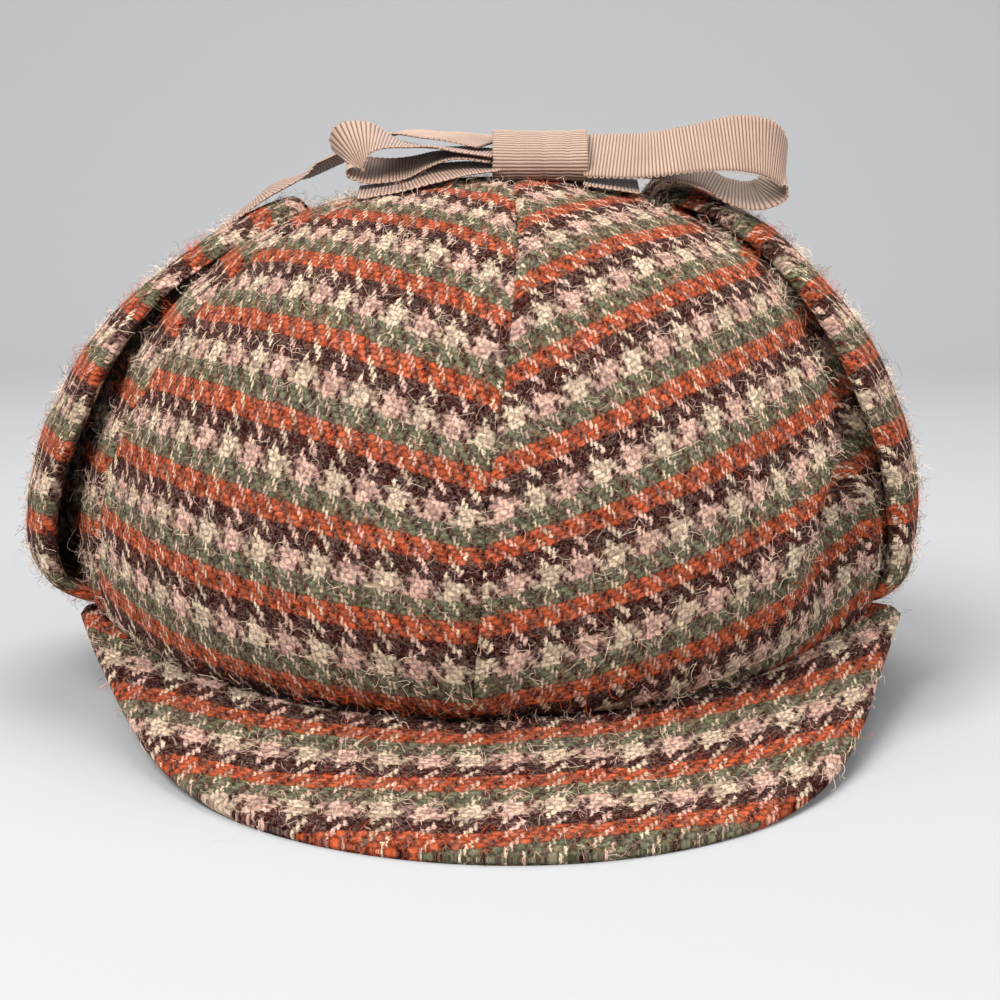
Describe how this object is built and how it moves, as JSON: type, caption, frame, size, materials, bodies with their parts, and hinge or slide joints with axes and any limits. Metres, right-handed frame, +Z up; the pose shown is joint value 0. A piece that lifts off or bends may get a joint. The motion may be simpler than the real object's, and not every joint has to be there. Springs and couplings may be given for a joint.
{
  "type": "deerstalker hat",
  "caption": "Tweed deerstalker hat with a domed panelled crown, a peak at the front and back, and ear flaps tied up over the top by a ribbon bow.",
  "frame": {"origin": "on the surface that the hat rests on, under the middle of the hat's bounding box", "axes": "+Z up through the crown, -Y towards the front peak, +X towards the right of the hat as seen from in front"},
  "size_m": [0.2084, 0.292, 0.13],
  "materials": {
    "tweed": "brushed wool",
    "ribbon": "ribbed grosgrain"
  },
  "bodies": {
    "root": {"crown_panel_front_right": "tweed", "crown_panel_side_right": "tweed", "crown_panel_back_right": "tweed", "crown_panel_back_left": "tweed", "crown_panel_side_left": "tweed", "crown_panel_front_left": "tweed", "front_peak": "tweed", "rear_peak": "tweed", "right_flap": "tweed", "left_flap": "tweed", "bow_right_loop": "ribbon", "bow_left_loop": "ribbon", "left_tie": "ribbon", "right_tie": "ribbon", "bow_tail": "ribbon", "bow_knot": "ribbon"}
  },
  "joints": []
}
